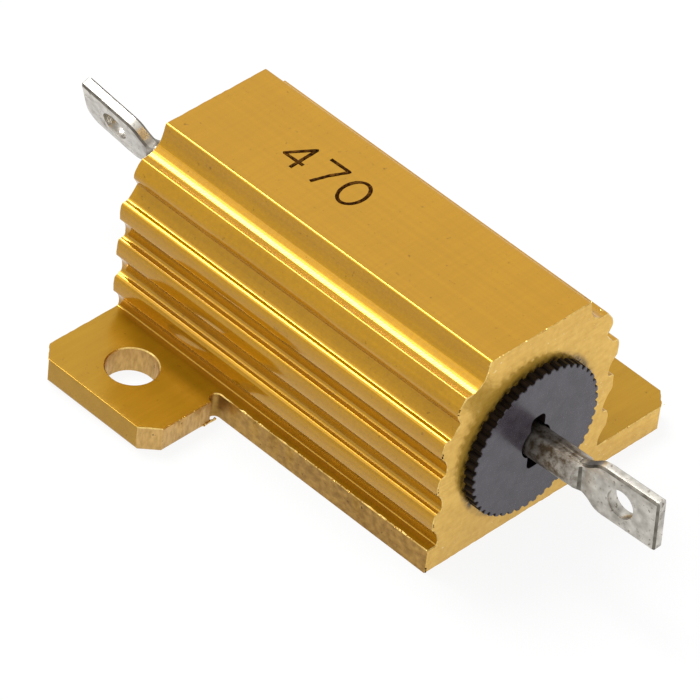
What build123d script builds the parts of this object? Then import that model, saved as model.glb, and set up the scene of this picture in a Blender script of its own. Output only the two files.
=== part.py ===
from build123d import *
import math
import os

# Aluminium housed wirewound resistor, for bolting down on a heat sink.
# A finned aluminium extrusion holds a wound ceramic core in a round bore. Each end of the bore is
# closed by a disc with a serrated rim, and a lead comes out of it, pressed flat into a solder eye.
#
# Frame: X runs along the body and the two leads, the front end is +X, Y is across, Z is up.
# The origin is the middle of the mounting face. Sizes are millimetres.

# ---------------------------------------------------------------- housing
body_length = 27.3
body_height = 14.7
top_set_in = 2.62          # edges of the flat top that carries the rating, in from the walls
top_edge_radius = 0.12
shoulder_lean = 0.4        # how far each side leans out between the flat top and the upper fin
wall_width = 13.64         # across the bottoms of the grooves
upper_wall_set_in = 0.67   # just under the upper fin the walls draw in
flange_width = 27.0        # across both ears
flange_thickness = 1.8
lip_reach = 0.78           # foot that stays beside the wall where the flange is sawn away

fin_count = 4              # on each side
fin_pitch = 2.83
lowest_fin_top = 4.5
fin_thickness = 1.25
fin_reach = 0.63           # out from the wall
upper_fin_reach = 0.4
tip_set_back = 0.1         # of the upper corner of a tip, behind its fullest point
upper_tip_set_back = 0.5
lower_tip_set_back = 0.06
tip_belly = 0.45           # height of the fullest point, as a share of the fin's thickness
upper_tip_belly = 0.25
tip_upper_radius = 0.18
crest_radius = 0.1         # upper corner of the upper fin
tip_lower_radius = 0.2
underside_drop = 0.6       # fall of a fin's sloping underside from its tip to the wall
groove_root_radius = 0.25
shelf_root_radius = 0.25   # where a fin's level top meets the wall
trough_radius = 0.95       # between the shoulder and the upper fin
trough_dip = 0.27          # fall of the upper fin's top from its crest to the shoulder's foot

ear_length = 9.9           # along the body
ear_chamfer = 1.1
ear_relief_radius = 0.42   # notch at the ear's root, where the two cuts meet
ear_roll_radius = 0.2      # lower edge of the sawn side, rolled over by the saw
hole_pitch_x = 18.0
hole_pitch_y = 20.0
hole_diameter = 3.3
hole_edge_break = 0.12

# ---------------------------------------------------------------- bore and end discs
bore_height = 6.7          # axis above the mounting face
bore_diameter = 9.6
disc_diameter = 10.5
disc_thickness = 0.75
tooth_count = 48
tooth_depth = 0.22
notch_mouth_share = 0.68   # of one tooth pitch, where the notch leaves the blank
notch_floor_share = 0.3
spigot_length = 2.0
spigot_clearance = 0.08    # radial, in the bore

# ---------------------------------------------------------------- core, caps and winding
core_diameter = 5.6
core_set_back = 5.15       # core's end inside the housing's end
cap_wall = 0.35
cap_depth = 3.2            # how far a cap reaches over the core
wire_diameter = 0.35
turn_count = 9             # turns lie as ridges on one another's shoulders
turn_valley = 0.15         # height over the core where two turns meet
winding_margin = 0.4       # bare core between the last turn and a cap

# ---------------------------------------------------------------- leads
lead_diameter = 2.1
lead_clearance = 0.14      # radial, in the disc
blade_width = 3.7
blade_thickness = 0.8
blade_slot_clearance = 0.2  # all round, in the disc's slot
lead_reach = 9.8           # from the disc's face to the tip
neck_length = 3.6          # round lead left between the disc and the flattened stretch
flare_length = 2.05        # over which the pressing spreads the lead to the blade's width
press_radius = 0.6         # of the press tool's edge, at the step down to the blade
eye_diameter = 2.0
eye_edge_distance = 2.8    # eye's centre to the tip
blade_corner_radius = 0.18
blade_edge_bevel = 0.14     # pressed edges bulge, so their corners are blunt
worn_corner_radius = 1.3   # lower corner of the rear blade
# Hand-set leads: turn of the blade about the lead, lift above level and sway towards +Y, degrees.
front_set = (2.0, 1.1, 1.6)
rear_set = (-21.0, 7.4, 0.4)

# ---------------------------------------------------------------- values worked out from these
half_length = body_length / 2
half_wall = wall_width / 2
half_upper_wall = half_wall - upper_wall_set_in
half_top = half_wall - top_set_in
lip_edge = half_wall + lip_reach
bore_radius = bore_diameter / 2
core_radius = core_diameter / 2
lead_radius = lead_diameter / 2
spigot_radius = bore_radius - spigot_clearance
half_core = half_length - core_set_back
cap_inner_end = half_core - cap_depth
cap_outer_end = half_core + cap_wall
winding_length = 2 * (cap_inner_end - winding_margin)
fill_half_length = half_length - spigot_length
far_away = 2 * body_length


def rounded_face(corners):
    """Flat YZ face from (y, z, radius) corners, each rounded by its own radius."""
    outline = Polyline(*[(y, z) for y, z, _ in corners], close=True)
    face = make_face(outline.edges())
    for y, z, radius in corners:
        if radius > 0:
            corner = face.vertices().sort_by_distance(Vector(y, z, 0))[0]
            face = fillet(corner, radius)
    return face


def side_corners():
    """One side of the extrusion from the foot up to the flat top, for positive Y."""
    corners = [(lip_edge, 0, 0), (lip_edge, flange_thickness, 0)]
    corners.append((half_wall, flange_thickness, groove_root_radius))
    for index in range(fin_count):
        top = lowest_fin_top + index * fin_pitch
        is_upper = index == fin_count - 1
        below = half_upper_wall if is_upper else half_wall
        above = half_top + shoulder_lean if is_upper else half_wall
        tip = below + (upper_fin_reach if is_upper else fin_reach)
        set_back = upper_tip_set_back if is_upper else tip_set_back
        belly = upper_tip_belly if is_upper else tip_belly
        corner_radius = crest_radius if is_upper else tip_upper_radius
        root_radius = trough_radius if is_upper else shelf_root_radius
        root = top - trough_dip if is_upper else top
        bottom = top - fin_thickness
        corners.append((below, bottom - underside_drop, groove_root_radius))
        corners.append((tip - lower_tip_set_back, bottom, tip_lower_radius))
        corners.append((tip, bottom + belly * fin_thickness, fin_thickness / 2))
        corners.append((tip - set_back, top, corner_radius))
        corners.append((above, root, root_radius))
    corners.append((half_top, body_height, top_edge_radius))
    return corners


def make_extrusion():
    """The finned body, with no flange beyond its lips and no bore."""
    right = side_corners()
    left = [(-y, z, radius) for y, z, radius in reversed(right)]
    section = rounded_face(right + left)
    start = Plane(origin=(-half_length, 0, 0), x_dir=(0, 1, 0), z_dir=(1, 0, 0))
    return extrude(start * section, amount=body_length)


def make_ear():
    """Rear ear on the -Y side: a slab with clipped corners, its screw hole and its root relief."""
    inner = -half_length + ear_length
    middle = Pos(-half_length + ear_length / 2, -flange_width / 4, flange_thickness / 2)
    slab = middle * Box(ear_length, flange_width / 2, flange_thickness)
    outer_edges = slab.edges().filter_by(Axis.Z).group_by(Axis.Y)[0]
    slab = chamfer(outer_edges, ear_chamfer)
    sawn_sides = slab.faces().filter_by(lambda face: face.normal_at().X > 0.1)
    rolled_edges = sawn_sides.edges().group_by(Axis.Z)[0]
    slab = fillet(rolled_edges, ear_roll_radius)
    relief = Pos(inner, -lip_edge - ear_relief_radius, flange_thickness / 2)
    slab -= relief * Cylinder(ear_relief_radius, 2 * flange_thickness)
    return slab


def make_hole_tool():
    """Screw hole with the upper edge broken, to be cut at an ear."""
    radius = hole_diameter / 2
    middle = Pos(-hole_pitch_x / 2, -hole_pitch_y / 2, flange_thickness / 2)
    drill = middle * Cylinder(radius, 2 * flange_thickness)
    mouth_middle = middle * Pos(0, 0, (flange_thickness - hole_edge_break) / 2)
    mouth = mouth_middle * Cone(radius, radius + hole_edge_break, hole_edge_break)
    return drill + mouth


def make_housing():
    """Extrusion, the two diagonal ears and the bore."""
    body = make_extrusion()
    ear = make_ear()
    hole = make_hole_tool()
    for turn in (0, 180):
        body += Rot(0, 0, turn) * ear
    for turn in (0, 180):
        body -= Rot(0, 0, turn) * hole
    bore = Pos(0, 0, bore_height) * Rot(0, 90, 0) * Cylinder(bore_radius, far_away)
    return body - bore


def make_keyhole(blade_turn):
    """Round hole for the lead with the cross slot that its flattened end passes."""
    slot_width = blade_thickness + 2 * blade_slot_clearance
    slot_length = blade_width + 2 * blade_slot_clearance
    slot = Rot(0, 0, blade_turn) * Rectangle(slot_width, slot_length)
    return Circle(lead_radius + lead_clearance) + slot


def make_serrated_round():
    """Outline of the disc's flange, notched all round the rim."""
    rim = disc_diameter / 2
    floor = rim - tooth_depth
    mouth = rim + tooth_depth
    tooth_pitch = math.pi * disc_diameter / tooth_count
    half_mouth = tooth_pitch * notch_mouth_share / 2
    half_floor = tooth_pitch * notch_floor_share / 2
    corners = [(floor, -half_floor), (mouth, -half_mouth), (mouth, half_mouth), (floor, half_floor)]
    notch = make_face(Polyline(*corners, close=True).edges())
    return Circle(rim) - [Rot(0, 0, 360 * index / tooth_count) * notch for index in range(tooth_count)]


def make_end_disc(blade_turn):
    """Front end disc: serrated flange, spigot in the bore, and the keyhole."""
    flange = extrude(make_serrated_round(), amount=disc_thickness)
    spigot = extrude(Circle(spigot_radius), amount=-spigot_length)
    disc = flange + spigot - extrude(make_keyhole(blade_turn), amount=far_away, both=True)
    seat = Plane(origin=(half_length, 0, bore_height), x_dir=(0, 1, 0), z_dir=(1, 0, 0))
    return seat * disc


def make_blade_outline(lower_corner_radius):
    """Side view of the flattened end, XZ: the flare from the round lead, the blade and its eye."""
    half_width = blade_width / 2
    widest = neck_length + flare_length
    midway = (neck_length + flare_length / 2, (lead_radius + half_width) / 2)
    inner_bend = TangentArc((neck_length, lead_radius), midway, tangent=(1, 0))
    outer_bend = TangentArc((widest, half_width), midway, tangent=(-1, 0))
    upper_side = Line((widest, half_width), (lead_reach, half_width))
    tip = Line((lead_reach, half_width), (lead_reach, -half_width))
    lower_side = mirror(upper_side, Plane.XZ)
    root = Line((neck_length, -lead_radius), (neck_length, lead_radius))
    upper_flare = inner_bend + outer_bend
    lower_flare = mirror(upper_flare, Plane.XZ)
    sides = upper_flare.edges() + upper_side.edges() + lower_flare.edges() + lower_side.edges()
    outline = make_face(sides + tip.edges() + root.edges())
    for height, radius in ((half_width, blade_corner_radius), (-half_width, lower_corner_radius)):
        corner = outline.vertices().sort_by_distance(Vector(lead_reach, height, 0))[0]
        outline = fillet(corner, radius)
    return outline - Pos(lead_reach - eye_edge_distance, 0) * Circle(eye_diameter / 2)


def make_blade(lower_corner_radius):
    """Flattened end in the XZ plane, with the edges round its outline blunted."""
    outline = Plane.XZ * make_blade_outline(lower_corner_radius)
    blade = extrude(outline, amount=blade_thickness / 2, both=True)
    rim = [edge for face in blade.faces().filter_by(Axis.Y) for edge in face.outer_wire().edges()]
    return chamfer(rim, blade_edge_bevel)


def make_press_tool():
    """Block that takes one side of the lead down to the blade, with its leading edge rounded."""
    face_height = blade_thickness / 2
    middle = Pos(neck_length + far_away / 2, 0, face_height + far_away / 2)
    block = middle * Box(far_away, far_away, far_away)
    leading_edge = block.edges().filter_by(Axis.Y).sort_by_distance((neck_length, 0, face_height))[0]
    return fillet(leading_edge, press_radius)


def make_lug(lower_corner_radius):
    """Straight outer stretch of a lead, from the disc's face at X = 0 to the tip."""
    round_length = neck_length + flare_length
    lug = Pos(round_length / 2, 0, 0) * Rot(0, 90, 0) * Cylinder(lead_radius, round_length)
    lug += make_blade(lower_corner_radius)
    for side in (90, -90):
        lug -= Rot(side, 0, 0) * make_press_tool()
    return lug


def make_lead(lead_set, lower_corner_radius):
    """Front lead: straight shank in the body, a bend at the disc's face, then the outer stretch."""
    turn, lift, sway = lead_set
    face = half_length + disc_thickness
    shank_length = face - cap_outer_end
    shank_middle = Pos(cap_outer_end + shank_length / 2, 0, bore_height)
    shank = shank_middle * Rot(0, 90, 0) * Cylinder(lead_radius, shank_length)
    bend = Pos(face, 0, bore_height)
    lug = bend * Rot(0, -lift, sway) * Rot(turn, 0, 0) * make_lug(lower_corner_radius)
    return shank + bend * Sphere(lead_radius) + lug


def make_core():
    """Ceramic rod in the middle of the bore."""
    return Pos(0, 0, bore_height) * Rot(0, 90, 0) * Cylinder(core_radius, 2 * half_core)


def make_cap_blank():
    """Front cap's outer form, with no hollow."""
    length = cap_depth + cap_wall
    middle = Pos(cap_inner_end + length / 2, 0, bore_height)
    return middle * Rot(0, 90, 0) * Cylinder(core_radius + cap_wall, length)


def make_core_cap():
    """Front cap: a drawn cup pressed over the end of the core."""
    return make_cap_blank() - make_core()


def make_winding():
    """Resistance wire on the core from cap to cap: turns that touch, fused by the cement."""
    valley = core_radius + turn_valley
    crest = core_radius + wire_diameter
    turn_pitch = winding_length / turn_count
    outline = [(-winding_length / 2, core_radius), (-winding_length / 2, valley)]
    for index in range(turn_count):
        start = -winding_length / 2 + index * turn_pitch
        outline.append((start + turn_pitch / 2, crest))
        outline.append((start + turn_pitch, valley))
    outline.append((winding_length / 2, core_radius))
    section = make_face(Polyline(*outline, close=True).edges())
    return Pos(0, 0, bore_height) * revolve(section, Axis.X)


def make_fill():
    """Moulding compound round the core, between the two discs."""
    axis = Pos(0, 0, bore_height) * Rot(0, 90, 0)
    fill = axis * Cylinder(bore_radius, 2 * fill_half_length)
    fill -= axis * Cylinder(core_radius + wire_diameter, 2 * cap_inner_end)
    for turn in (0, 180):
        fill -= Rot(0, 0, turn) * make_cap_blank()
    fill -= axis * Cylinder(lead_radius, far_away)
    return fill


def at_rear(front_piece):
    """The same piece at the other end, turned half round about Z."""
    return Rot(0, 0, 180) * front_piece


parts = {
    "housing": make_housing(),
    "front_end_disc": make_end_disc(front_set[0]),
    "rear_end_disc": at_rear(make_end_disc(rear_set[0])),
    "front_terminal": make_lead(front_set, blade_corner_radius),
    "rear_terminal": at_rear(make_lead(rear_set, worn_corner_radius)),
    "ceramic_core": make_core(),
    "front_core_cap": make_core_cap(),
    "rear_core_cap": at_rear(make_core_cap()),
    "resistance_winding": make_winding(),
    "moulding_compound": make_fill(),
}

os.makedirs("parts", exist_ok=True)
for name, part in parts.items():
    part.label = name
    export_step(part, f"parts/{name}.step")
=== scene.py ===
import math
import bmesh
import bpy
from mathutils import Matrix, Vector, noise


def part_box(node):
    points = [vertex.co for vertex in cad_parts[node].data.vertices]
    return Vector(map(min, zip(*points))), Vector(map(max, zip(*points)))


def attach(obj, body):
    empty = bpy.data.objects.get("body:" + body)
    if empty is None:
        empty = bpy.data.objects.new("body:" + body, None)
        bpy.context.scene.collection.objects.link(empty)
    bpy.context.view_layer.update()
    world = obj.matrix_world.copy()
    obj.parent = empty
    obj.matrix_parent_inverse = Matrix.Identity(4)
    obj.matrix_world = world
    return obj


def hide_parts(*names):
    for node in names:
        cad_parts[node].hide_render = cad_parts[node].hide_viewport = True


# Gold anodised housed resistor: the looks of each piece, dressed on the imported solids.
# Lengths are millimetres in the values below and are multiplied by MM where a mesh is made.
# X runs along the body towards the front end, Y is across, Z is up from the mounting face.

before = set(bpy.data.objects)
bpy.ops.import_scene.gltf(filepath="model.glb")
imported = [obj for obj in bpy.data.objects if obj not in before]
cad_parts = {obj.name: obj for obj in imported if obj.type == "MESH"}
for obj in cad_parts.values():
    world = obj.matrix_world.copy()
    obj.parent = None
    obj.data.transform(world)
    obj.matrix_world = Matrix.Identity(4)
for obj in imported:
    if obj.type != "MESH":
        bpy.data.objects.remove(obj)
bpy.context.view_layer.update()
MM = 0.001


def node_size(node):
    """A node's lowest and highest corners, in millimetres."""
    low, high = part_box(node)
    return Vector(low) / MM, Vector(high) / MM


housing_high = node_size("housing")[1]
disc_low, disc_high = node_size("front_end_disc")

# -------- housing
half_length = housing_high.x
body_height = housing_high.z
half_flange = housing_high.y
half_top = 4.2
top_edge_radius = 0.2
shoulder_lean = 0.4
half_wall = 6.82
half_upper_wall = 6.15
lip_edge = 7.6
flange_thickness = 1.8
fin_count = 4
fin_pitch = 2.83
lowest_fin_top = 4.5
fin_thickness = 1.25
fin_reach = 0.63
upper_fin_reach = 0.4
tip_set_back = 0.1
upper_tip_set_back = 0.6
crest_drop = 0.12  # the upper fin's crest stands a little under the fins' even pitch
lower_tip_set_back = 0.06
tip_belly = 0.45
upper_tip_belly = 0.35
belly_radius = 2.6
tip_upper_radii = (0.42, 0.25, 0.34)  # from the lowest fin up, worn unevenly by the drawing die
crest_radius = 0.13
tip_lower_radius = 0.2
underside_drop = 0.6
groove_root_radius = 0.12
groove_sweep_radius = 1.4  # the grooves between the fins are swept hollows
flange_lower_radius = 0.3
flange_upper_radius = 0.04
shelf_root_radius = 0.27
trough_radius = 1.35
trough_dip = 0.08
bore_height = 6.7
bore_radius = 4.8

# -------- ears
ear_length = 9.9
ear_chamfer = 1.1
relief_radius = 0.42
roll_radius = 0.2  # lower edge of the sawn side
roll_onset = 0.8  # length over which the roll sets in beside the notch
hole_radius = 1.65
hole_break = 0.07
hole_x = 9.0
hole_y = 10.0

# -------- broken edges
saw_break = 0.05  # at the sawn ends
saw_break_spread = 0.02
foot_break = 0.05  # round the flange's upper edge
foot_break_spread = 0.03
foot_break_rise = 0.06  # height of that break above and below the flange's top
end_seed = 7.0
foot_seed = 3.0
corner_seed = 9.0
wander_scale = 3.1  # how quickly an uneven amount changes along an edge
wander_floor = 0.25  # least share of its size that an uneven amount keeps

# -------- mesh
station_spacing = 1.5  # rings of the body's mesh along X
outline_spacing = 0.3
arc_step = 11  # degrees between the points of an arc
bore_sides = 96
hole_sides = 72
relief_steps = 12
roll_steps = 4
path_margin = 2.0  # how far a tool's plan goes round outside the flange
tool_overrun = 1.0  # how far a tool goes above and below the flange
merge_distance = 0.0005
foot_slack = 0.02  # faces this near the flange's top belong to it
top_slack = 0.01  # and these to the flat top
lip_slack = 0.1  # and these to the lip's side

# Places of the finishes in the housing's list.
extruded, sawn, broken, side_cut, satin, milled, flat_top = range(7)

# -------- end discs and leads
disc_radius = 5.25
disc_thickness = disc_high.x - half_length
disc_edge_break = 0.05
spigot_length = half_length - disc_low.x
spigot_radius = 4.72
tooth_count = 48
tooth_depth = 0.2
tooth_points = 12  # points of the rim's outline for each tooth
gap_edge = 0.29  # a gap's outer and inner corner, as shares of the pitch from its middle
gap_floor = 0.17
keyhole_radius = 1.19
slot_width = 1.2
slot_length = 4.1
slot_corner = 0.42
front_slot_turn = 2.0  # degrees
rear_slot_turn = -21.0
ejector_mark = (0, 3.16, 8.1)  # ring left on the moulded face by the mould's pin
ejector_radius = 0.5
blade_edge_round = 0.08
press_start = 18.2  # the lead is pressed flat from here outwards

# -------- print on the flat top
figures = "470"
figure_height = 2.4
figure_width = 1.56
figure_advance = 2.24
figures_start = (-7.25, -1.22)
figures_turn = 1.8  # degrees, the stamp went on a little askew
stroke_width = 0.24
stroke_unevenness = 0.5
ink_film = 0.012

# -------- camera and light
camera_azimuth = 40.60
camera_elevation = 41.27
camera_roll = 7.13
camera_distance = 390.36
camera_aim = (1.8165, -2.9313, bore_height)
camera_lens = 339.2
ambient = 0.55  # light of the surroundings on the object, where the background is 1
floor_reach = 1.5  # metres

# -------- plain metal finishes
# Each finish's metallic share, and the values of the grain group's inputs.
plain_metals = {
    "gold_broken_edge": (1.0, {
        "Colour": (0.85, 0.62, 0.22, 1), "Deep Colour": (0.45, 0.24, 0.04, 1),
        "Stretch": (4.0, 4.0, 4.0), "Shade Spread": 0.8,
        "Roughness": 0.25, "Roughness Spread": 0.3, "Relief": 0.5, "Relief Depth": 0.00002}),
    "gold_cut_side": (0.9, {
        "Colour": (0.68, 0.43, 0.15, 1), "Deep Colour": (0.38, 0.22, 0.06, 1),
        "Stretch": (4.5, 4.5, 1.6), "Shade Spread": 0.8, "Pits": 0.9,
        "Roughness": 0.45, "Roughness Spread": 0.3, "Relief": 0.6, "Relief Depth": 0.00003}),
    "gold_satin": (0.52, {
        "Colour": (0.415, 0.222, 0.008, 1), "Deep Colour": (0.365, 0.19, 0.004, 1),
        "Stretch": (1.2, 0.25, 1.2), "Shade Spread": 0.8, "Cross Lines": 0.4, "Pits": 0.4,
        "Roughness": 0.24, "Roughness Spread": 0.1, "Relief": 0.3, "Relief Depth": 0.00001}),
    # Darker cut metal of the lip's milled side, also used as painted shade in the relief notch.
    "gold_milled_lip_and_notch_shade": (0.85, {
        "Colour": (0.46, 0.265, 0.06, 1), "Deep Colour": (0.23, 0.115, 0.018, 1),
        "Stretch": (2.2, 2.2, 2.6), "Shade Spread": 0.85, "Pits": 0.9,
        "Roughness": 0.38, "Roughness Spread": 0.3, "Relief": 0.6, "Relief Depth": 0.00003}),
    # Dark finish of the blade's slanting rim and pressed shoulder: painted shade.
    "tinned_pressed_edge_painted_shade": (0.85, {
        "Colour": (0.1, 0.088, 0.07, 1), "Deep Colour": (0.38, 0.355, 0.31, 1),
        "Stretch": (1.6, 1.6, 1.6), "Shade Spread": 0.55,
        "Roughness": 0.4, "Roughness Spread": 0.2, "Relief": 0.3, "Relief Depth": 0.00002}),
}


# ======== outlines
def smooth_outline(corners):
    """Closed YZ outline from (y, z, radius) corners, with arcs at the corners."""
    count = len(corners)
    points = []
    for index in range(count):
        before = Vector(corners[index - 1][:2])
        corner = Vector(corners[index][:2])
        after = Vector(corners[(index + 1) % count][:2])
        points += round_corner(before, corner, after, corners[index][2])
    return fill_in(points)


def round_corner(before, corner, after, radius):
    """Points of the arc that rounds one corner of an outline."""
    if radius <= 0:
        return [corner]
    back = (before - corner).normalized()
    ahead = (after - corner).normalized()
    opening = back.angle(ahead)
    reach = radius / math.tan(opening / 2)
    centre = corner + (back + ahead).normalized() * radius / math.sin(opening / 2)
    start = corner + back * reach - centre
    sweep = (corner + ahead * reach - centre).angle_signed(start)
    steps = max(2, math.ceil(abs(sweep) / math.radians(arc_step)))
    turns = [Matrix.Rotation(sweep * step / steps, 2) for step in range(steps + 1)]
    return [centre + turn @ start for turn in turns]


def fill_in(points):
    """The same closed outline with points added along its long straight stretches."""
    filled = []
    for index, point in enumerate(points):
        after = points[(index + 1) % len(points)]
        gap = (after - point).length
        if gap < 1e-6:
            continue
        steps = max(1, round(gap / outline_spacing))
        filled += [point.lerp(after, step / steps) for step in range(steps)]
    return filled


def inset(points, amounts):
    """A closed counter-clockwise outline moved inwards by its own amount at each point."""
    moved = []
    for index, point in enumerate(points):
        before = (point - points[index - 1]).normalized()
        after = (points[(index + 1) % len(points)] - point).normalized()
        along = (before + after).normalized()
        moved.append(point + Vector((-along.y, along.x)) * amounts[index])
    return moved


def circle(radius, count):
    """Points of a circle round the origin, counter-clockwise."""
    angles = [2 * math.pi * index / count for index in range(count)]
    return [(radius * math.cos(angle), radius * math.sin(angle)) for angle in angles]


def uneven(place, size, spread, seed):
    """A positive amount that wanders about its size from place to place."""
    wander = noise.noise(Vector((place[0], place[1], seed)) * wander_scale)
    return max(wander_floor * size, size + spread * 2 * wander)


# ======== meshes
def ring_of(bm, places):
    return [bm.verts.new(Vector(place) * MM) for place in places]


def bridge(bm, lower, upper, material):
    """Quads between two rings with as many points. They face outwards if the rings run
    counter-clockwise seen from the upper ring's side."""
    count = len(lower)
    for index in range(count):
        after = (index + 1) % count
        face = bm.faces.new((lower[index], lower[after], upper[after], upper[index]))
        face.material_index = material


def cap_between(bm, outer, inner, material):
    """Flat cap between an outer ring and a hole's ring."""
    edges = []
    for ring in (outer, inner):
        for index in range(len(ring)):
            pair = (ring[index], ring[(index + 1) % len(ring)])
            edges.append(bm.edges.get(pair) or bm.edges.new(pair))
    made = bmesh.ops.triangle_fill(bm, edges=edges, use_beauty=True, use_dissolve=False)
    for face in made["geom"]:
        if isinstance(face, bmesh.types.BMFace):
            face.material_index = material


def in_scene(name, data):
    made = bpy.data.objects.new(name, data)
    bpy.context.scene.collection.objects.link(made)
    return made


def add_finishes(mesh, materials):
    for material in materials:
        mesh.materials.append(material)


def set_finishes(mesh, materials):
    """Gives the mesh a new list of finishes. Every face gets the first one."""
    mesh.materials.clear()
    add_finishes(mesh, materials)


def object_from(bm, name, materials=()):
    mesh = bpy.data.meshes.new(name)
    bm.to_mesh(mesh)
    bm.free()
    add_finishes(mesh, materials)
    return in_scene(name, mesh)


def freeze(piece):
    """Replaces a piece's modifiers by the plain mesh that they make."""
    bpy.context.view_layer.update()
    shown = piece.evaluated_get(bpy.context.evaluated_depsgraph_get())
    mesh = bpy.data.meshes.new_from_object(shown)
    piece.modifiers.clear()
    piece.data = mesh


def soften(piece, sharp_angle):
    """Smooth shading, with edges kept sharp above an angle in degrees."""
    piece.data.shade_smooth()
    piece.data.set_sharp_from_angle(angle=math.radians(sharp_angle))


def tidy_mesh(piece):
    bm = bmesh.new()
    bm.from_mesh(piece.data)
    bmesh.ops.remove_doubles(bm, verts=bm.verts, dist=merge_distance * MM)
    bmesh.ops.dissolve_degenerate(bm, edges=bm.edges, dist=merge_distance * MM)
    bm.to_mesh(piece.data)
    bm.free()


# ======== nodes
def feed(tree, socket, value):
    """Links a value to a socket, or sets it there if it is a plain one."""
    if isinstance(value, bpy.types.NodeSocket):
        tree.links.new(value, socket)
    else:
        socket.default_value = value


def put(tree, kind, settings=None, inputs=None):
    """One node, with its settings and the values or links of its inputs."""
    made = tree.nodes.new(kind)
    for name, value in (settings or {}).items():
        setattr(made, name, value)
    for name, value in (inputs or {}).items():
        feed(tree, made.inputs[name], value)
    return made


def maths(tree, operation, first, second=0.0, third=0.0):
    inputs = {0: first, 1: second, 2: third}
    return put(tree, "ShaderNodeMath", {"operation": operation}, inputs).outputs[0]


def multiply(tree, vector, factors):
    inputs = {0: vector, 1: factors}
    return put(tree, "ShaderNodeVectorMath", {"operation": "MULTIPLY"}, inputs).outputs[0]


def enlarge(tree, vector, scale):
    inputs = {0: vector, "Scale": scale}
    return put(tree, "ShaderNodeVectorMath", {"operation": "SCALE"}, inputs).outputs[0]


def blend_colours(tree, amount, first, second):
    inputs = {0: amount, 6: first, 7: second}
    return put(tree, "ShaderNodeMix", {"data_type": "RGBA"}, inputs).outputs[2]


def remap(tree, value, low, high, to_low=0.0, to_high=1.0):
    inputs = {"Value": value, "From Min": low, "From Max": high, "To Min": to_low, "To Max": to_high}
    return put(tree, "ShaderNodeMapRange", {"clamp": True}, inputs).outputs["Result"]


def millimetres(tree):
    """Object coordinates in millimetres."""
    place = put(tree, "ShaderNodeTexCoord").outputs["Object"]
    inputs = {"Vector": place, "Scale": (1 / MM, 1 / MM, 1 / MM)}
    return put(tree, "ShaderNodeMapping", inputs=inputs).outputs[0]


def cloud(tree, place, scale, detail=3.0, roughness=0.55):
    inputs = {"Vector": place, "Scale": scale, "Detail": detail, "Roughness": roughness}
    return put(tree, "ShaderNodeTexNoise", inputs=inputs).outputs["Fac"]


def bump(tree, strength, depth, height):
    inputs = {"Strength": strength, "Distance": depth, "Height": height}
    return put(tree, "ShaderNodeBump", inputs=inputs).outputs[0]


def distance_across(tree, place, axis_point):
    """Distance from a line that runs along X through the given point."""
    inputs = {0: multiply(tree, place, (0, 1, 1)), 1: axis_point}
    return put(tree, "ShaderNodeVectorMath", {"operation": "DISTANCE"}, inputs).outputs["Value"]


def socket_kind(value):
    """Kind of socket that holds a value. A material's socket gets none here."""
    if value is None:
        return "NodeSocketMaterial"
    if isinstance(value, tuple):
        return "NodeSocketColor" if len(value) == 4 else "NodeSocketVector"
    return "NodeSocketInt" if isinstance(value, int) else "NodeSocketFloat"


def add_inputs(tree, values):
    """Named inputs of a tree, with their values to start from."""
    for name, value in values.items():
        socket = tree.interface.new_socket(name, in_out="INPUT", socket_type=socket_kind(value))
        if value is not None:
            socket.default_value = value


def ends_of(tree):
    """What a tree is given and what it gives out, as sockets by name."""
    return tree.nodes.new("NodeGroupInput").outputs, tree.nodes.new("NodeGroupOutput").inputs


def new_finish(name, **values):
    """Material with one Principled shader. The values go on the shader's own sockets."""
    material = bpy.data.materials.new(name)
    material.use_nodes = True
    tree = material.node_tree
    shader = tree.nodes["Principled BSDF"]
    dress(tree, shader, **values)
    return material, tree, shader


def dress(tree, shader, **values):
    """Sets or links the shader's sockets, whose names are given with _ for a space."""
    for label, value in values.items():
        feed(tree, shader.inputs[label.replace("_", " ")], value)


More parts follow.
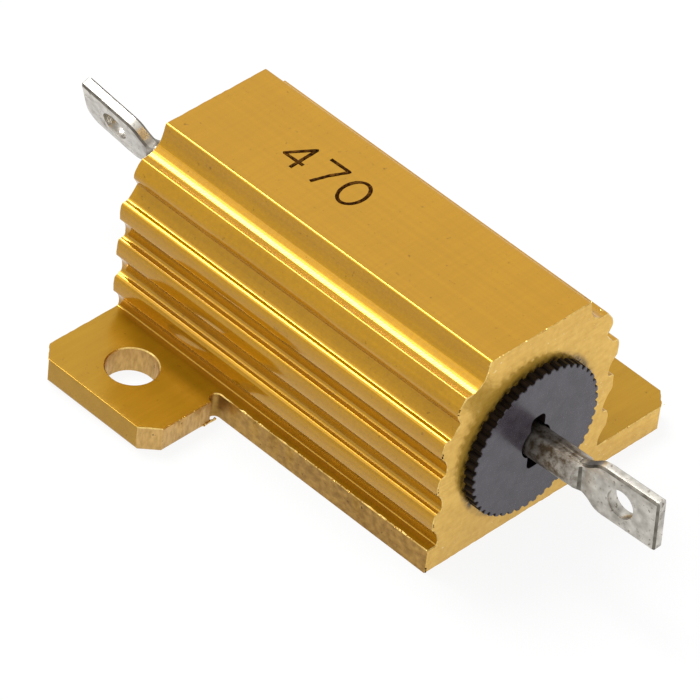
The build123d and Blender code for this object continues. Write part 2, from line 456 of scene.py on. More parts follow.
# ======== finishes
def make_grain_group():
    """Colour, roughness and relief of a worked metal skin whose grain runs along X, Y or Z."""
    tree = bpy.data.node_groups.new("worked_metal_grain", "ShaderNodeTree")
    add_inputs(tree, {
        "Colour": (0.8, 0.8, 0.8, 1), "Deep Colour": (0.5, 0.5, 0.5, 1),
        "Stretch": (1, 1, 1), "Shade Spread": 0.3,
        "Roughness": 0.3, "Roughness Spread": 0.1, "Relief": 0.1, "Relief Depth": 0.00001,
        "Cross Lines": 0.0, "Pits": 0.0, "Pit Colour": (0.05, 0.02, 0.0, 1)})
    for label, kind in (("Colour", "Color"), ("Roughness", "Float"), ("Normal", "Vector")):
        tree.interface.new_socket(label, in_out="OUTPUT", socket_type="NodeSocket" + kind)
    given, result = ends_of(tree)
    place = millimetres(tree)
    lines = cloud(tree, multiply(tree, place, given["Stretch"]), 1.0, 2.0, 0.5)
    patches = cloud(tree, place, 0.16, 2.0, 0.5)
    specks = cloud(tree, place, 3.2, 2.0, 0.6)
    shade = maths(tree, "MULTIPLY_ADD", lines, 0.6, maths(tree, "MULTIPLY", patches, 0.4))
    shade = maths(tree, "MULTIPLY", remap(tree, shade, 0.36, 0.64), given["Shade Spread"])
    drawn_across = multiply(tree, place, (5.0, 0.25, 5.0))
    across = remap(tree, cloud(tree, drawn_across, 1.0, 2.0, 0.5), 0.35, 0.65)
    shade = maths(tree, "MULTIPLY_ADD", across, given["Cross Lines"], shade)
    plain = blend_colours(tree, shade, given["Colour"], given["Deep Colour"])
    pits = remap(tree, cloud(tree, place, 2.6, 3.0, 0.7), 0.66, 0.72)
    pits = maths(tree, "MULTIPLY", pits, given["Pits"])
    tree.links.new(blend_colours(tree, pits, plain, given["Pit Colour"]), result["Colour"])
    swing = maths(tree, "MULTIPLY_ADD", lines, 0.5, maths(tree, "MULTIPLY", specks, 0.5))
    swing = maths(tree, "SUBTRACT", swing, 0.5)
    rough = maths(tree, "MULTIPLY_ADD", swing, given["Roughness Spread"], given["Roughness"])
    tree.links.new(rough, result["Roughness"])
    tree.links.new(bump(tree, given["Relief"], given["Relief Depth"], lines), result["Normal"])
    return tree


def finish_with_grain(name, grain, values, **shader_values):
    """A metal finish: the grain group drives colour, roughness and relief. Gives the material,
    its tree, its shader and the group's outputs."""
    material, tree, shader = new_finish(name, **shader_values)
    skin = put(tree, "ShaderNodeGroup", {"node_tree": grain}, values).outputs
    dress(tree, shader, Base_Color=skin["Colour"], Roughness=skin["Roughness"], Normal=skin["Normal"])
    return material, tree, shader, skin


def make_extruded_gold(grain, name, colour, deep_colour, lines_each_mm, relief_depth):
    """Skin of the extrusion under its sealed anodic coat, drawn out along X."""
    values = {
        "Colour": colour, "Deep Colour": deep_colour, "Stretch": (0.03, lines_each_mm, lines_each_mm),
        "Shade Spread": 0.6, "Cross Lines": 0.35, "Pits": 0.5,
        "Roughness": 0.145, "Roughness Spread": 0.09, "Relief": 0.6, "Relief Depth": relief_depth}
    sealed = {"Metallic": 0.58, "Specular_IOR_Level": 0.1, "Coat_Weight": 0.56, "Coat_Roughness": 0.08}
    return finish_with_grain(name, grain, values, **sealed)[0]


def make_sawn_gold(grain):
    """Bare sawn end, with painted shade round the disc."""
    values = {
        "Colour": (0.89, 0.545, 0.09, 1), "Deep Colour": (0.71, 0.4, 0.045, 1),
        "Stretch": (2.4, 2.4, 2.4), "Shade Spread": 0.7, "Cross Lines": 0.3,
        "Pits": 0.9, "Pit Colour": (0.95, 0.74, 0.34, 1),
        "Roughness": 0.21, "Roughness Spread": 0.3, "Relief": 0.7, "Relief Depth": 0.00003}
    # Colour of the painted shade round the disc, where the disc stands on the end face.
    darkening_colour = (0.035, 0.017, 0.002, 1)
    material, tree, shader, skin = finish_with_grain("gold_sawn", grain, values, Metallic=0.5)
    place = millimetres(tree)
    # Painted shade: darkest in a ring just outside the disc's rim, broken up by patches.
    from_axis = distance_across(tree, place, (0, 0, bore_height))
    by_disc = remap(tree, from_axis, disc_radius + 0.5, disc_radius + 0.1)
    patches = remap(tree, cloud(tree, place, 1.7, 3.0, 0.6), 0.38, 0.6, 0.3, 0.95)
    painted_disc_shade = maths(tree, "MULTIPLY", by_disc, patches)
    dress(tree, shader, Base_Color=blend_colours(tree, painted_disc_shade, skin["Colour"], darkening_colour))
    return material


def make_tinned(grain):
    """Dull tin over copper: darker towards the disc, speckled out on the blade."""
    values = {
        "Colour": (0.67, 0.64, 0.58, 1), "Deep Colour": (0.3, 0.28, 0.245, 1),
        "Stretch": (1.4, 1.4, 1.4), "Shade Spread": 0.9,
        "Roughness": 0.32, "Roughness Spread": 0.3, "Relief": 0.35, "Relief Depth": 0.00002}
    darkening_colour = (0.088, 0.062, 0.036, 1)
    material, tree, shader, skin = finish_with_grain("tinned_lead", grain, values, Metallic=0.92)
    place = millimetres(tree)
    along = put(tree, "ShaderNodeSeparateXYZ", inputs={0: place}).outputs[0]
    # Darker in blotches towards the disc, and in specks out on the blade.
    by_disc = remap(tree, maths(tree, "ABSOLUTE", along), 19.6, 17.3)
    blotches = remap(tree, cloud(tree, place, 1.8, 4.0, 0.65), 0.4, 0.6, 0.55, 1.0)
    specks = remap(tree, cloud(tree, place, 3.4, 3.0, 0.6), 0.6, 0.7, 0.0, 0.75)
    darkening = maths(tree, "MAXIMUM", maths(tree, "MULTIPLY", by_disc, blotches), specks)
    rough = maths(tree, "MULTIPLY_ADD", darkening, 0.1, skin["Roughness"])
    dress(tree, shader, Base_Color=blend_colours(tree, darkening, skin["Colour"], darkening_colour), Roughness=rough)
    return material


def make_disc_finish(name, dark, light, roughness, gloss):
    """Moulded face, mottled between two shades, with the ring that the mould's pin leaves."""
    material, tree, shader = new_finish(name, Specular_IOR_Level=gloss)
    place = millimetres(tree)
    mottle = remap(tree, cloud(tree, place, 0.9, 4.0, 0.6), 0.35, 0.68)
    from_ring = maths(tree, "SUBTRACT", distance_across(tree, place, ejector_mark), ejector_radius)
    ring = remap(tree, maths(tree, "ABSOLUTE", from_ring), 0.0, 0.3, 0.3, 0.0)
    shade = blend_colours(tree, ring, blend_colours(tree, mottle, dark, light), (0.02, 0.017, 0.024, 1))
    fine = cloud(tree, place, 14.0, 3.0, 0.6)
    rough = remap(tree, fine, 0.2, 0.8, roughness - 0.08, roughness + 0.08)
    dress(tree, shader, Base_Color=shade, Roughness=rough, Normal=bump(tree, 0.25, 0.00001, fine))
    return material


def make_ink():
    """Dark ink, worn thin in places."""
    material, tree, shader = new_finish("stamped_ink", Roughness=0.9, Specular_IOR_Level=0.02)
    wear = remap(tree, cloud(tree, millimetres(tree), 5.0, 3.0, 0.6), 0.45, 0.72)
    shade = blend_colours(tree, wear, (0.02, 0.006, 0.001, 1), (0.13, 0.05, 0.006, 1))
    dress(tree, shader, Base_Color=shade)
    return material


def make_plain_finish(name, light, dark, scale, roughness, metallic):
    """Mottled grey finish for the sealed inner pieces, between two shades."""
    material, tree, shader = new_finish(name, Metallic=metallic)
    mottle = cloud(tree, millimetres(tree), scale, 4.0, 0.6)
    shade = blend_colours(tree, mottle, light, dark)
    rough = remap(tree, mottle, 0.2, 0.8, roughness - 0.1, roughness + 0.1)
    dress(tree, shader, Base_Color=shade, Roughness=rough, Normal=bump(tree, 0.3, 0.00003, mottle))
    return material


# ======== housing
def side_corners():
    """One side of the section from the foot to the flat top, as (y, z, radius), for positive Y.
    The flange still runs out to its full width here, as extruded."""
    corners = [(half_flange, 0, flange_lower_radius), (half_flange, flange_thickness, flange_upper_radius)]
    corners.append((half_wall, flange_thickness, groove_root_radius))
    for index in range(fin_count):
        is_upper = index == fin_count - 1
        top = lowest_fin_top + index * fin_pitch - (crest_drop if is_upper else 0)
        below = half_upper_wall if is_upper else half_wall
        above = half_top + shoulder_lean if is_upper else half_wall
        tip = below + (upper_fin_reach if is_upper else fin_reach)
        set_back = upper_tip_set_back if is_upper else tip_set_back
        belly = upper_tip_belly if is_upper else tip_belly
        corner_radius = crest_radius if is_upper else tip_upper_radii[index]
        root_radius = trough_radius if is_upper else shelf_root_radius
        root = top - trough_dip if is_upper else top
        bottom = top - fin_thickness
        sweep = groove_root_radius if is_upper else groove_sweep_radius
        corners.append((below, bottom - underside_drop, sweep))
        corners.append((tip - lower_tip_set_back, bottom, tip_lower_radius))
        bulge = fin_thickness / 2 if is_upper else belly_radius
        corners.append((tip, bottom + belly * fin_thickness, bulge))
        corners.append((tip - set_back, top, corner_radius))
        corners.append((above, root, root_radius))
    corners.append((half_top, body_height, top_edge_radius))
    return corners


def make_body(materials):
    """The sawn length of extrusion, bored through, with its end edges unevenly broken."""
    right = side_corners()
    left = [(-y, z, radius) for y, z, radius in reversed(right)]
    outline = smooth_outline(right + left)
    stations = max(2, round(2 * half_length / station_spacing))
    bm = bmesh.new()
    rings = []
    for side in (-1, 1):
        breaks = [uneven(point, saw_break, saw_break_spread, side * end_seed) for point in outline]
        drawn_in = inset(outline, breaks)
        cap = ring_of(bm, [(side * half_length, point.x, point.y) for point in drawn_in])
        depths = [side * (half_length - amount) for amount in breaks]
        shoulder = ring_of(bm, [(x, point.x, point.y) for x, point in zip(depths, outline)])
        rings.append((cap, shoulder))
    rear_cap, previous = rings[0]
    bridge(bm, previous, rear_cap, broken)
    for face in bm.faces:
        face.normal_flip()
    for station in range(1, stations):
        x = -half_length + 2 * half_length * station / stations
        ring = ring_of(bm, [(x, point.x, point.y) for point in outline])
        bridge(bm, previous, ring, extruded)
        previous = ring
    front_cap, front_shoulder = rings[1]
    bridge(bm, previous, front_shoulder, extruded)
    bridge(bm, front_shoulder, front_cap, broken)
    bore_rings = []
    for x in (-half_length, half_length):
        places = [(x, y, bore_height + z) for y, z in circle(bore_radius, bore_sides)]
        bore_rings.append(ring_of(bm, places))
    bridge(bm, bore_rings[1], bore_rings[0], sawn)
    cap_between(bm, rear_cap, bore_rings[0], sawn)
    cap_between(bm, front_cap, bore_rings[1], sawn)
    bmesh.ops.recalc_face_normals(bm, faces=bm.faces)
    return object_from(bm, "housing_shell", materials)


def saw_path():
    """Plan of what the saw takes off the flange beside the rear ear, on the -Y side,
    counter-clockwise seen from above. It starts past the front end, follows the lip, the relief
    notch at the ear's root and the ear's clipped corner, and goes round outside."""
    inner_x = -half_length + ear_length
    beyond = half_length + path_margin
    outside = -half_flange - path_margin
    plan = [(beyond, -lip_edge), (inner_x, -lip_edge)]
    relief_y = -lip_edge - relief_radius
    for step in range(1, relief_steps):
        angle = math.radians(90 + 180 * step / relief_steps)
        plan.append((inner_x + relief_radius * math.cos(angle), relief_y + relief_radius * math.sin(angle)))
    plan.append((inner_x, -lip_edge - 2 * relief_radius))
    plan.append((inner_x, -half_flange + ear_chamfer))
    plan.append((inner_x - ear_chamfer - path_margin, outside))
    plan.append((beyond, outside))
    return fill_in([Vector(point) for point in plan])


def outer_corner_path():
    """Plan of the clipped corner at the ear's outer end."""
    beyond = -half_length - path_margin
    outside = -half_flange - path_margin
    plan = [(-half_length + ear_chamfer + path_margin, outside), (beyond, outside)]
    plan.append((beyond, -half_flange + ear_chamfer + path_margin))
    return fill_in([Vector(point) for point in plan])


def roll_share(point):
    """How fully the saw rolls over the lower edge: on the ear's own side, and not on the body's lip."""
    past_notch = (-lip_edge - 2 * relief_radius - point.y) / roll_onset
    return min(1.0, max(0.0, past_notch))


def tool_from(bm, name, rings, breaking, turn, materials):
    """Upright tool through stacked rings. The step at the place breaking leaves a broken edge."""
    for index in range(len(rings) - 1):
        bridge(bm, rings[index], rings[index + 1], broken if index == breaking else side_cut)
    bm.faces.new(rings[0])
    bm.faces.new(rings[-1])
    bmesh.ops.rotate(bm, verts=bm.verts, matrix=Matrix.Rotation(math.radians(turn), 3, "Z"))
    bmesh.ops.recalc_face_normals(bm, faces=bm.faces)
    return object_from(bm, name, materials)


def make_saw_tool(plan, roll, seed, turn, materials):
    """Tool with the plan's outline. It leaves the flange's lower edge rolled over and its upper
    edge unevenly broken."""
    levels = []
    for step in range(roll_steps + 1):
        angle = math.pi / 2 * step / roll_steps
        growth = [-roll * roll_share(point) * (1 - math.sin(angle)) for point in plan]
        height = roll * (1 - math.cos(angle))
        if step == 0:
            levels.append((inset(plan, growth), -tool_overrun))
        levels.append((inset(plan, growth), height))
    breaks = [uneven(point, foot_break, foot_break_spread, seed) for point in plan]
    grown = inset(plan, [-2 * amount for amount in breaks])
    levels.append((plan, flange_thickness - foot_break_rise))
    levels.append((grown, flange_thickness + foot_break_rise))
    levels.append((grown, flange_thickness + tool_overrun))
    bm = bmesh.new()
    rings = [ring_of(bm, [(point.x, point.y, z) for point in points]) for points, z in levels]
    return tool_from(bm, "saw_tool", rings, len(rings) - 3, turn, materials)


def make_drill_tool(turn, materials):
    """Screw hole with its upper edge broken."""
    widened = hole_radius + 2 * hole_break
    profile = [(hole_radius, -tool_overrun), (hole_radius, flange_thickness - hole_break)]
    profile += [(widened, flange_thickness + hole_break), (widened, flange_thickness + tool_overrun)]
    bm = bmesh.new()
    rings = []
    for radius, z in profile:
        rings.append(ring_of(bm, [(-hole_x + x, -hole_y + y, z) for x, y in circle(radius, hole_sides)]))
    return tool_from(bm, "drill_tool", rings, 1, turn, materials)


def take_off(piece, tool):
    """Takes the tool's volume off the piece and removes the tool."""
    taken = piece.modifiers.new("cut", "BOOLEAN")
    taken.operation = "DIFFERENCE"
    taken.solver = "EXACT"
    taken.object = tool
    freeze(piece)
    bpy.data.objects.remove(tool)


def give_own_finish(face):
    """Picks the finish of a face of the housing that the tools left extruded or cut."""
    x, y, z = (abs(value) / MM for value in face.center)
    if face.material_index == extruded and z < flange_thickness + foot_slack:
        face.material_index = satin
    elif face.material_index == extruded and z > body_height - top_slack:
        face.material_index = flat_top
    elif face.material_index == side_cut:
        # The lip's cut side gets the darker milled finish; the relief notch at the ear's root gets it as
        # painted shade in the nook.
        on_lip = abs(face.normal.y) > 0.9 and y < lip_edge + lip_slack
        by_root = abs(x - (half_length - ear_length)) < 2 * relief_radius
        if on_lip or (by_root and y < lip_edge + 2 * relief_radius):
            face.material_index = milled


def make_housing(materials):
    shell = make_body(materials)
    for turn in (0, 180):
        take_off(shell, make_saw_tool(saw_path(), roll_radius, turn + foot_seed, turn, materials))
        take_off(shell, make_saw_tool(outer_corner_path(), 0, turn + corner_seed, turn, materials))
        take_off(shell, make_drill_tool(turn, materials))
    tidy_mesh(shell)
    for face in shell.data.polygons:
        give_own_finish(face)
    soften(shell, 28)
    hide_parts("housing")
    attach(shell, "root")


# ======== geometry trees
def new_geometry_tree(name, values):
    """Geometry node tree with a mesh in and out, and named inputs with their values to start from."""
    tree = bpy.data.node_groups.new(name, "GeometryNodeTree")
    tree.interface.new_socket("Geometry", in_out="INPUT", socket_type="NodeSocketGeometry")
    add_inputs(tree, values)
    tree.interface.new_socket("Geometry", in_out="OUTPUT", socket_type="NodeSocketGeometry")
    return tree, *ends_of(tree)


def end_tree(tree, geometry, finish, result):
    """Makes the tree's instances real and gives the result its finish."""
    real = put(tree, "GeometryNodeRealizeInstances", inputs={"Geometry": geometry})
    dyed = put(tree, "GeometryNodeSetMaterial", inputs={"Geometry": real.outputs[0], "Material": finish})
    tree.links.new(dyed.outputs[0], result["Geometry"])


def run_tree(piece, tree, values):
    """Puts a geometry tree on a piece with its values, and freezes the result."""
    modifier = piece.modifiers.new(tree.name, "NODES")
    modifier.node_group = tree
    for item in tree.interface.items_tree:
        if item.in_out == "INPUT" and item.name in values:
            modifier[item.identifier] = values[item.name]
    piece.data.update()
    freeze(piece)


def shape(tree, kind, settings=None, **inputs):
    """Outputs of a geometry node whose inputs are given with _ for a space in their names."""
    named = {label.replace("_", " "): value for label, value in inputs.items()}
    return put(tree, "GeometryNode" + kind, settings, named).outputs


def rectangle(tree, width, height):
    settings = {"mode": "RECTANGLE"}
    return shape(tree, "CurvePrimitiveQuadrilateral", settings, Width=width, Height=height)[0]


def random_vector(tree, low, high, seed):
    inputs = {0: low, 1: high, 8: seed}
    return put(tree, "FunctionNodeRandomValue", {"data_type": "FLOAT_VECTOR"}, inputs).outputs[0]


# ======== burrs and nicks
def make_burr_tree():
    """Crumbs of metal strewn along the given edges."""
    tree, given, result = new_geometry_tree("edge_burrs", {
        "Spacing": 0.3, "Share": 0.5, "Scatter": 0.03, "Seed": 5,
        "Smallest": (0.02, 0.02, 0.02), "Largest": (0.07, 0.07, 0.05), "Finish": None})
    seed = given["Seed"]
    curve = shape(tree, "MeshToCurve", Mesh=given["Geometry"])[0]
    spots = shape(tree, "CurveToPoints", {"mode": "LENGTH"}, Curve=curve, Length=given["Spacing"])
    drift = random_vector(tree, (-1, -1, -1), (1, 1, 1), seed)
    offset = enlarge(tree, drift, given["Scatter"])
    moved = shape(tree, "SetPosition", Geometry=spots["Points"], Offset=offset)[0]
    chance = {6: given["Share"], 8: seed}
    kept = put(tree, "FunctionNodeRandomValue", {"data_type": "BOOLEAN"}, chance).outputs[3]
    size = random_vector(tree, given["Smallest"], given["Largest"], maths(tree, "ADD", seed, 1))
    turn = random_vector(tree, (-0.6, -0.6, -0.6), (0.6, 0.6, 0.6), maths(tree, "ADD", seed, 2))
    crumb = shape(tree, "MeshIcoSphere", Radius=1.0, Subdivisions=1)[0]
    strewn = shape(
        tree, "InstanceOnPoints", Points=moved, Selection=kept, Instance=crumb, Rotation=turn, Scale=size)
    end_tree(tree, strewn[0], given["Finish"], result)
    return tree


def strew(tree, name, edges, finish, values):
    """Burrs or nicks along straight edges, each given as its two ends."""
    bm = bmesh.new()
    for start, end in edges:
        bm.edges.new((bm.verts.new(start), bm.verts.new(end)))
    piece = object_from(bm, name)
    run_tree(piece, tree, {"Finish": finish, **values})
    piece.data.transform(Matrix.Scale(MM, 4))
    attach(piece, "root")


def make_burrs(bright, dirty):
    """Burrs on the sawn and milled edges, swarf in the near notch, and dirty nicks at the front."""
    tree = make_burr_tree()
    end = half_length - 0.03
    top = body_height - 0.03
    foot = flange_thickness
    ear_front = -half_length + ear_length
    ear_side = -half_flange + ear_chamfer
    upper_crest = lowest_fin_top + (fin_count - 1) * fin_pitch - crest_drop
    burred = [
        ((end, -half_top, top), (end, half_top, top)),
        ((end, -half_top - shoulder_lean, upper_crest + 0.1), (end, -half_top, top)),
        ((ear_front + 1.2, -lip_edge, foot), (end, -lip_edge, foot)),
        ((ear_front, -lip_edge - 1.2, foot), (ear_front, ear_side, foot)),
        ((end, half_wall + 0.6, foot), (end, half_flange - 0.3, foot)),
        ((end, half_top + 0.2, top - 0.55), (end, half_upper_wall - 0.2, upper_crest - 0.02)),
    ]
    strew(tree, "edge_burrs", burred, bright, {
        "Spacing": 0.24, "Share": 0.45, "Scatter": 0.025, "Seed": 5,
        "Smallest": (0.015, 0.02, 0.015), "Largest": (0.05, 0.1, 0.045)})
    notch_y = -lip_edge - 2 * relief_radius
    bend = (ear_front + 0.02, notch_y + 0.08, 0.15)
    curl = [
        ((ear_front, notch_y - 0.45, 0.13), bend),
        (bend, (ear_front + 0.14, notch_y + 0.3, 0.3)),
    ]
    strew(tree, "notch_swarf", curl, bright, {
        "Spacing": 0.07, "Share": 1.0, "Scatter": 0.02, "Seed": 3,
        "Smallest": (0.05, 0.07, 0.06), "Largest": (0.13, 0.12, 0.11)})
    face = end + 0.01
    nicked = []
    for row in range(3):
        nicked.append(((face, -lip_edge + 0.06 + 0.08 * row, 0.1), (face, -lip_edge + 0.04, 0.4)))
    for index in range(fin_count):
        fin_top = lowest_fin_top + index * fin_pitch
        reach = half_upper_wall + upper_fin_reach if index == fin_count - 1 else half_wall + fin_reach
        nicked.append(((face, -reach + 0.06, fin_top - 1.1), (face, -reach + 0.12, fin_top - 0.8)))
    strew(tree, "edge_nicks", nicked, dirty, {
        "Spacing": 0.09, "Share": 0.8, "Scatter": 0.03, "Seed": 11,
        "Smallest": (0.02, 0.02, 0.02), "Largest": (0.05, 0.08, 0.09)})


# ======== end discs
def serrated_flange(tree, given):
    """Toothed plate standing on the XY plane, with its upper edge broken."""
    rim_points = maths(tree, "MULTIPLY", given["Teeth"], tooth_points)
    filled = {"fill_type": "NGON"}
    plate = shape(tree, "MeshCircle", filled, Vertices=rim_points, Radius=given["Rim Radius"])
    index = shape(tree, "InputIndex")[0]
    share = maths(tree, "FRACT", maths(tree, "DIVIDE", index, tooth_points))
    from_middle = maths(tree, "ABSOLUTE", maths(tree, "SUBTRACT", share, 0.5))
    depth = maths(tree, "MULTIPLY", remap(tree, from_middle, gap_edge, gap_floor), given["Tooth Depth"])
    shrink = maths(tree, "SUBTRACT", 1.0, maths(tree, "DIVIDE", depth, given["Rim Radius"]))
    pulled_in = enlarge(tree, shape(tree, "InputPosition")[0], shrink)
    toothed = shape(tree, "SetPosition", Geometry=plate[0], Position=pulled_in)[0]
    straight = maths(tree, "SUBTRACT", given["Thickness"], given["Edge Break"])
    grow = {"mode": "FACES"}
    wall = shape(tree, "ExtrudeMesh", grow, Mesh=toothed, Offset_Scale=straight, Individual=False)
    last = {"Selection": wall["Top"], "Offset_Scale": given["Edge Break"], "Individual": False}
    crown = shape(tree, "ExtrudeMesh", grow, Mesh=wall["Mesh"], **last)
    draw_in = maths(tree, "SUBTRACT", 1.0, maths(tree, "DIVIDE", given["Edge Break"], given["Rim Radius"]))
    eased = shape(tree, "ScaleElements", Geometry=crown["Mesh"], Selection=crown["Top"], Scale=draw_in)
    base = shape(tree, "FlipFaces", Mesh=toothed)
    flange = put(tree, "GeometryNodeJoinGeometry")
    tree.links.new(eased[0], flange.inputs[0])
    tree.links.new(base[0], flange.inputs[0])
    return shape(tree, "MergeByDistance", Geometry=flange.outputs[0], Distance=0.001)[0]


def keyhole_slot(tree, given):
    """Upright bar with rounded corners, turned to the slot's place."""
    oblong = rectangle(tree, given["Slot Width"], given["Slot Length"])
    corners = {"Radius": given["Slot Corner"], "Limit_Radius": True}
    rounded = shape(tree, "FilletCurve", {"mode": "POLY"}, Curve=oblong, Count=5, **corners)[0]
    path = shape(tree, "CurvePrimitiveLine", Start=(0, 0, -10), End=(0, 0, 10))[0]
    slot = shape(tree, "CurveToMesh", Curve=path, Profile_Curve=rounded, Fill_Caps=True)[0]
    turn = put(tree, "ShaderNodeCombineXYZ", inputs={"Z": given["Slot Turn"]}).outputs[0]
    return shape(tree, "Transform", Geometry=slot, Rotation=turn)[0]


def make_disc_tree():
    """Serrated flange on a spigot, standing on the XY plane with the flange up, keyhole cut through."""
    tree, given, result = new_geometry_tree("serrated_disc", {
        "Teeth": tooth_count, "Rim Radius": disc_radius, "Tooth Depth": tooth_depth,
        "Thickness": disc_thickness, "Edge Break": disc_edge_break,
        "Spigot Radius": spigot_radius, "Spigot Length": spigot_length, "Keyhole Radius": keyhole_radius,
        "Slot Width": slot_width, "Slot Length": slot_length, "Slot Corner": slot_corner,
        "Slot Turn": 0.0, "Finish": None})
    flange = serrated_flange(tree, given)
    overlap = 0.1
    spigot_height = maths(tree, "ADD", given["Spigot Length"], overlap)
    spigot = shape(tree, "MeshCylinder", Vertices=96, Radius=given["Spigot Radius"], Depth=spigot_height)[0]
    drop = maths(tree, "MULTIPLY_ADD", spigot_height, -0.5, overlap)
    low = put(tree, "ShaderNodeCombineXYZ", inputs={"Z": drop}).outputs[0]
    seated = shape(tree, "Transform", Geometry=spigot, Translation=low)
    whole = put(tree, "GeometryNodeMeshBoolean", {"operation": "UNION", "solver": "EXACT"})
    tree.links.new(seated[0], whole.inputs["Mesh 2"])
    tree.links.new(flange, whole.inputs["Mesh 2"])
    drill = shape(tree, "MeshCylinder", Vertices=64, Radius=given["Keyhole Radius"], Depth=20.0)
    pierced = put(tree, "GeometryNodeMeshBoolean", {"operation": "DIFFERENCE", "solver": "EXACT"})
    tree.links.new(whole.outputs[0], pierced.inputs["Mesh 1"])
    tree.links.new(keyhole_slot(tree, given), pierced.inputs["Mesh 2"])
    tree.links.new(drill[0], pierced.inputs["Mesh 2"])
    end_tree(tree, pierced.outputs[0], given["Finish"], result)
    return tree


def make_disc(tree, name, node, slot_turn, rear, finish, rim_shade_finish):
    """Runs the disc's tree and seats the result at one end of the bore."""
    piece = object_from(bmesh.new(), name)
    run_tree(piece, tree, {"Slot Turn": math.radians(slot_turn), "Finish": finish})
    set_finishes(piece.data, (finish, rim_shade_finish))
    # Faces that stand across the disc, its rim and teeth, take the second, darker finish: painted shade on
    # the rim.
    for face in piece.data.polygons:
        face.material_index = 1 if face.normal.z < 0.3 else 0
    seat = Matrix(((0, 0, 1, half_length), (1, 0, 0, 0), (0, 1, 0, bore_height), (0, 0, 0, 1)))
    end = Matrix.Rotation(math.pi if rear else 0, 4, "Z")
    piece.data.transform(Matrix.Scale(MM, 4) @ end @ seat)
    tidy_mesh(piece)
    soften(piece, 30)
    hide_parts(node)
    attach(piece, "root")


# ======== leads
def mark_pressed_edges(piece):
    """Gives the slanting rim of the pressed blade and its shoulder their own dark material, which is
    painted shade.
    """
    flats = [face for face in piece.data.polygons if abs(face.center.x) > press_start * MM]
    broadest = max(flats, key=lambda face: face.area).normal.copy()
    for face in flats:
        lean = abs(face.normal.dot(broadest))
        face.material_index = 1 if 0.2 < lean < 0.95 else 0


def make_terminal(node, name, finish, edge_finish):
    """Copy of the lead's solid with its pressed edges rounded."""
    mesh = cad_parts[node].data.copy()
    set_finishes(mesh, (finish, edge_finish))
    piece = in_scene(name, mesh)
    bm = bmesh.new()
    bm.from_mesh(mesh)
    bmesh.ops.remove_doubles(bm, verts=bm.verts, dist=merge_distance * MM)
    bmesh.ops.dissolve_limit(bm, angle_limit=math.radians(1), verts=bm.verts, edges=bm.edges)
    bm.to_mesh(mesh)
    bm.free()
    rounding = piece.modifiers.new("rounding", "BEVEL")
    rounding.width = blade_edge_round * MM
    rounding.segments = 2
    rounding.limit_method = "ANGLE"
    rounding.angle_limit = math.radians(40)
    freeze(piece)
    tidy_mesh(piece)
    mark_pressed_edges(piece)
    soften(piece, 40)
    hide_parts(node)
    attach(piece, "root")


# ======== print
def figure_stroke(figure):
    """The one stroke of a plain 4, 7 or 0, in a box one unit wide and one high."""
    if figure == "4":
        return [(0.74, 0.0), (0.74, 1.0), (0.0, 0.3), (1.0, 0.3)]
    if figure == "7":
        return [(0.0, 1.0), (1.0, 1.0), (0.62, 0.5), (0.36, 0.0)]
    loop = [2 * math.pi * index / 36 for index in range(37)]
    return [(0.5 - 0.5 * math.sin(angle), 0.5 + 0.5 * math.cos(angle)) for angle in loop]


def make_ink_tree():
    """Thin closed film of ink along each stroke, a little uneven in width."""
    tree, given, result = new_geometry_tree("ink_stroke", {
        "Width": stroke_width, "Thickness": ink_film, "Unevenness": stroke_unevenness, "Finish": None})
    curve = shape(tree, "MeshToCurve", Mesh=given["Geometry"])[0]
    fine = shape(tree, "ResampleCurve", {"mode": "LENGTH"}, Curve=curve, Length=0.06)[0]
    patchy = put(tree, "ShaderNodeTexNoise", inputs={"Scale": 2.5, "Detail": 2.0}).outputs["Fac"]
    swing = maths(tree, "MULTIPLY", maths(tree, "SUBTRACT", patchy, 0.5), given["Unevenness"])
    swell = maths(tree, "ADD", 1.0, swing)
    section = rectangle(tree, given["Width"], given["Thickness"])
    ribbon = shape(tree, "CurveToMesh", Curve=fine, Profile_Curve=section, Scale=swell, Fill_Caps=True)
    end_tree(tree, ribbon[0], given["Finish"], result)
    return tree


def make_print(ink):
    """Plain stamped figures on the flat top."""
    bm = bmesh.new()
    for index, figure in enumerate(figures):
        verts = []
        for u, v in figure_stroke(figure):
            x = index * figure_advance + u * figure_width
            verts.append(bm.verts.new((x, v * figure_height, 0)))
        for first, second in zip(verts, verts[1:]):
            bm.edges.new((first, second))
    bmesh.ops.remove_doubles(bm, verts=bm.verts, dist=0.001)
    piece = object_from(bm, "printed_figures")
    run_tree(piece, make_ink_tree(), {"Finish": ink})
    turn = Matrix.Rotation(math.radians(figures_turn), 4, "Z")
    seat = Matrix.Translation((*figures_start, body_height + ink_film / 3))
    piece.data.transform(Matrix.Scale(MM, 4) @ seat @ turn)
    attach(piece, "root")


# ======== studio
def make_camera():
    azimuth = math.radians(camera_azimuth)
    elevation = math.radians(camera_elevation)
    roll = math.radians(camera_roll)
    across = Vector((math.cos(azimuth), math.sin(azimuth), 0))
    lean = math.sin(elevation)
    rise = Vector((-math.sin(azimuth) * lean, math.cos(azimuth) * lean, math.cos(elevation)))
    back = across.cross(rise)
    right = across * math.cos(roll) + rise * math.sin(roll)
    up = rise * math.cos(roll) - across * math.sin(roll)
    camera = in_scene("camera", bpy.data.cameras.new("camera"))
    place = (Vector(camera_aim) + back * camera_distance) * MM
    turn = Matrix((right, up, back)).transposed().to_4x4()
    camera.matrix_world = Matrix.Translation(place) @ turn
    camera.data.lens = camera_lens
    camera.data.sensor_width = 36
    camera.data.clip_start = 0.01
    camera.data.clip_end = 10
    bpy.context.scene.camera = camera


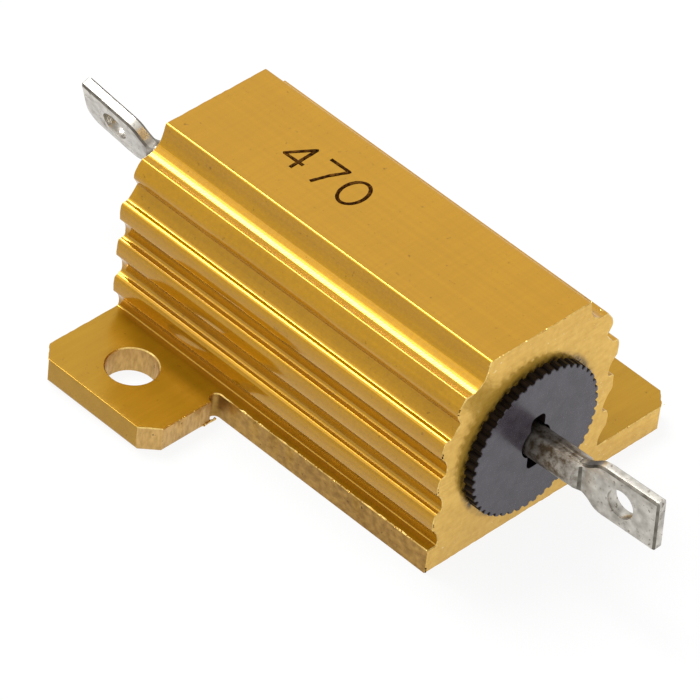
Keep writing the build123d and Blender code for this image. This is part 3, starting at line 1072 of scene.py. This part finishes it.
def background_rays(tree):
    """1 for the rays that show the background: camera, mirror and through-glass rays."""
    path = put(tree, "ShaderNodeLightPath").outputs
    seen = maths(tree, "MAXIMUM", path["Is Camera Ray"], path["Is Glossy Ray"])
    return maths(tree, "MAXIMUM", seen, path["Is Transmission Ray"])


def make_world():
    world = bpy.data.worlds.new("studio_air")
    bpy.context.scene.world = world
    world.use_nodes = True
    tree = world.node_tree
    strength = maths(tree, "MULTIPLY_ADD", background_rays(tree), 1.0 - ambient, ambient)
    dress(tree, tree.nodes["Background"], Strength=strength, Color=(1, 1, 1, 1))


def make_floor():
    bm = bmesh.new()
    bmesh.ops.create_grid(bm, x_segments=1, y_segments=1, size=floor_reach)
    look = {"Base_Color": (0.82, 0.82, 0.82, 1), "Roughness": 0.9, "Specular_IOR_Level": 0.1}
    material, tree, shader = new_finish("pale_floor", **look)
    glow = put(tree, "ShaderNodeEmission", inputs={"Color": (1, 1, 1, 1), "Strength": 1.0})
    share = maths(tree, "MULTIPLY", background_rays(tree), 0.9)
    mixed = put(tree, "ShaderNodeMixShader", inputs={0: share, 1: shader.outputs[0], 2: glow.outputs[0]})
    tree.links.new(mixed.outputs[0], tree.nodes["Material Output"].inputs["Surface"])
    floor = object_from(bm, "floor", [material])


def make_panel(name, direction, distance, size, radiance):
    """Soft rectangular lamp that faces the object, in metres, with its brightness as radiance."""
    lamp = bpy.data.lights.new(name, "AREA")
    lamp.shape = "RECTANGLE"
    lamp.size = size[0]
    lamp.size_y = size[1]
    lamp.energy = radiance * math.pi * size[0] * size[1]
    placed = in_scene(name, lamp)
    way = Vector(direction).normalized()
    placed.location = way * distance
    placed.rotation_euler = way.to_track_quat("Z", "Y").to_euler()


def make_lights():
    make_panel("key_panel", (-0.49, 0.06, 0.87), 0.9, (0.3, 0.4), 14.5)
    make_panel("key_surround", (-0.49, 0.0, 0.87), 0.95, (0.58, 0.45), 3.2)
    make_panel("left_panel", (-0.49, -0.42, 0.77), 0.9, (0.62, 0.6), 1.0)
    make_panel("back_panel", (-0.49, 0.62, 0.61), 0.9, (0.8, 0.4), 0.1)


# ======== assembly
def housing_finishes(grain, metals):
    """The housing's finishes, each at its place in the list."""
    drawn = ((0.515, 0.26, 0.002, 1), (0.395, 0.194, 0.001, 1), 4.5, 0.000025)
    smooth = ((0.495, 0.249, 0.002, 1), (0.435, 0.214, 0.001, 1), 3.0, 0.000002)
    places = {
        extruded: make_extruded_gold(grain, "gold_extruded", *drawn),
        flat_top: make_extruded_gold(grain, "gold_flat_top", *smooth),
        sawn: make_sawn_gold(grain),
        broken: metals["gold_broken_edge"],
        side_cut: metals["gold_cut_side"],
        satin: metals["gold_satin"],
        milled: metals["gold_milled_lip_and_notch_shade"],
    }
    return [places[place] for place in range(len(places))]


def dress_inner_solids():
    """Finishes of the solids that are sealed in the bore."""
    steel = make_plain_finish("cap_steel", (0.6, 0.6, 0.6, 1), (0.5, 0.5, 0.5, 1), 2.0, 0.35, 1.0)
    inner = {
        "ceramic_core": make_plain_finish(
            "core_ceramic", (0.8, 0.78, 0.72, 1), (0.7, 0.67, 0.6, 1), 2.0, 0.6, 0.0),
        "front_core_cap": steel,
        "rear_core_cap": steel,
        "resistance_winding": make_plain_finish(
            "winding_wire", (0.35, 0.34, 0.33, 1), (0.25, 0.24, 0.23, 1), 4.0, 0.4, 1.0),
        "moulding_compound": make_plain_finish(
            "compound_grey", (0.26, 0.26, 0.26, 1), (0.2, 0.2, 0.2, 1), 3.0, 0.7, 0.0),
    }
    for node, finish in inner.items():
        set_finishes(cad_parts[node].data, [finish])


def main():
    make_camera()
    make_world()
    make_floor()
    make_lights()
    grain = make_grain_group()
    metals = {}
    for name, (metallic, values) in plain_metals.items():
        metals[name] = finish_with_grain(name, grain, values, Metallic=metallic)[0]
    gold = housing_finishes(grain, metals)
    make_housing(gold)
    disc_tree = make_disc_tree()
    greys = (0.035, 0.028, 0.042, 1), (0.066, 0.057, 0.076, 1)
    # The rim's tones are darker than the face's: painted shade on the serrated rim.
    rim_shade_tones = (0.006, 0.004, 0.003, 1), (0.02, 0.013, 0.011, 1)
    moulded_face = make_disc_finish("disc_moulded_face", *greys, 0.24, 0.5)
    painted_shade_rim = make_disc_finish("disc_rim_painted_shade", *rim_shade_tones, 0.42, 0.12)
    make_disc(disc_tree, "front_disc", "front_end_disc", front_slot_turn, False, moulded_face, painted_shade_rim)
    make_disc(disc_tree, "rear_disc", "rear_end_disc", rear_slot_turn, True, moulded_face, painted_shade_rim)
    tinned = make_tinned(grain)
    for node, name in (("front_terminal", "front_lead"), ("rear_terminal", "rear_lead")):
        make_terminal(node, name, tinned, metals["tinned_pressed_edge_painted_shade"])
    ink = make_ink()
    make_print(ink)
    make_burrs(gold[broken], ink)
    dress_inner_solids()
    bpy.context.scene.view_settings.view_transform = "Standard"


main()
bpy.context.view_layer.update()
